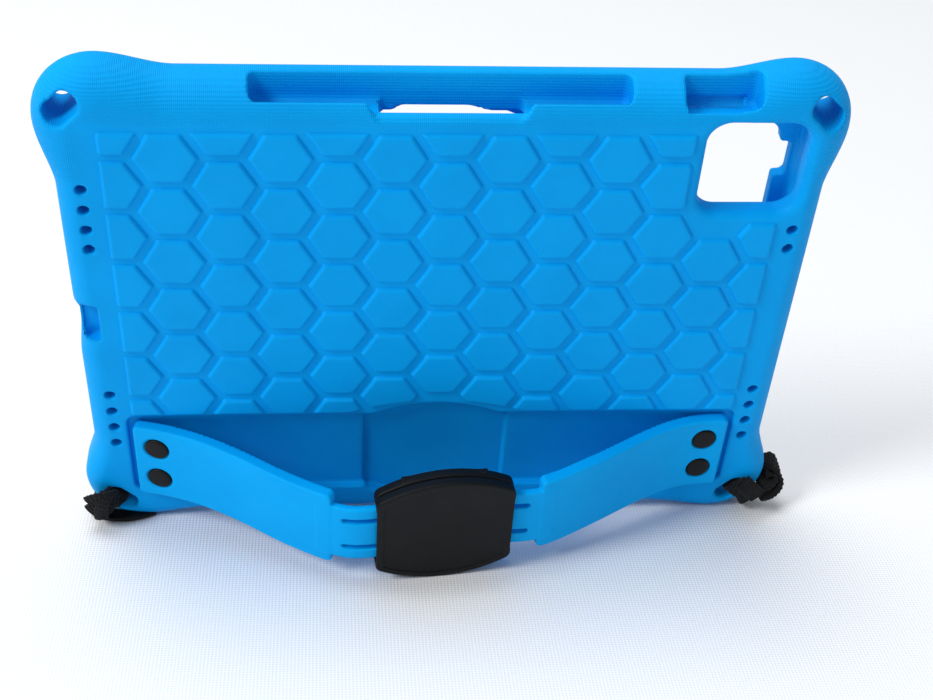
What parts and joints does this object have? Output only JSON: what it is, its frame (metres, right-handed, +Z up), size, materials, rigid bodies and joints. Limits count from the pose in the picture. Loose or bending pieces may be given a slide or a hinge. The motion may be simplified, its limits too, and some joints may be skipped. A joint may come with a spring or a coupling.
{
  "type": "tablet case",
  "caption": "Foam tablet case with bumper corners, honeycomb back, stylus slot and a riveted hand strap that pulls out as a stand.",
  "frame": {"origin": "centre of the bounding box on the ground that the case stands on", "axes": "+X to the right seen from the back of the case, +Z up, -Y towards the side that the strap stands on"},
  "size_m": [0.2924, 0.0794, 0.2082],
  "materials": {
    "shell": "matt moulded foam",
    "strap": "matt moulded foam",
    "rivets": "satin black",
    "buckle": "satin black, fine grain",
    "webbing": "black woven webbing"
  },
  "bodies": {
    "case": {"corner_band_left": "webbing", "corner_band_right": "webbing", "rivet_base_left_lower": "rivets", "rivet_base_left_upper": "rivets", "rivet_base_right_lower": "rivets", "rivet_base_right_upper": "rivets", "rivet_cap_left_lower": "rivets", "rivet_cap_left_upper": "rivets", "rivet_cap_right_lower": "rivets", "rivet_cap_right_upper": "rivets", "shell": "shell", "strap_root_left": "strap", "strap_root_right": "strap", "tether_loop_left": "webbing", "tether_loop_right": "webbing"},
    "arm_left": {"strap_arm_left": "strap"},
    "tongue_left": {"strap_tongue_left": "strap"},
    "buckle": {"buckle_base": "buckle", "buckle_cover": "buckle"},
    "arm_right": {"strap_arm_right": "strap"},
    "tongue_right": {"strap_tongue_right": "strap"}
  },
  "joints": [
    {"name": "strap_fold", "type": "hinge", "parent": "case", "child": "arm_left", "pos_m": [-0.10469, 0.00836, 0.03558], "axis": [0, -0.239, 0.971], "range_deg": [0, 32.2]},
    {"name": "tongue_bend_left", "type": "hinge", "parent": "arm_left", "child": "tongue_left", "pos_m": [-0.03826, -0.03226, 0.02558], "axis": [0, 0.239, -0.971], "range_deg": [0, 38.9]},
    {"name": "buckle_slide", "type": "slide", "parent": "tongue_left", "child": "buckle", "axis": [-0.9934, -0.1118, -0.0275], "range_m": [0, 0.01402]},
    {"name": "arm_bend_right", "type": "hinge", "parent": "case", "child": "arm_right", "pos_m": [0.09631, 0.00836, 0.03558], "axis": [0, 0.239, -0.971], "range_deg": [0, 26.1]},
    {"name": "tongue_bend_right", "type": "hinge", "parent": "arm_right", "child": "tongue_right", "pos_m": [0.02575, -0.02505, 0.02736], "axis": [0, -0.239, 0.971], "range_deg": [0, 19.5]}
  ],
  "couplings": [
    {"joint": "tongue_bend_left", "follows": "strap_fold", "ratio": 1.2053},
    {"joint": "arm_bend_right", "follows": "strap_fold", "ratio": 0.80745},
    {"joint": "tongue_bend_right", "follows": "strap_fold", "ratio": 0.60217},
    {"joint": "buckle_slide", "follows": "strap_fold", "m_per_rad": 0.024911}
  ]
}
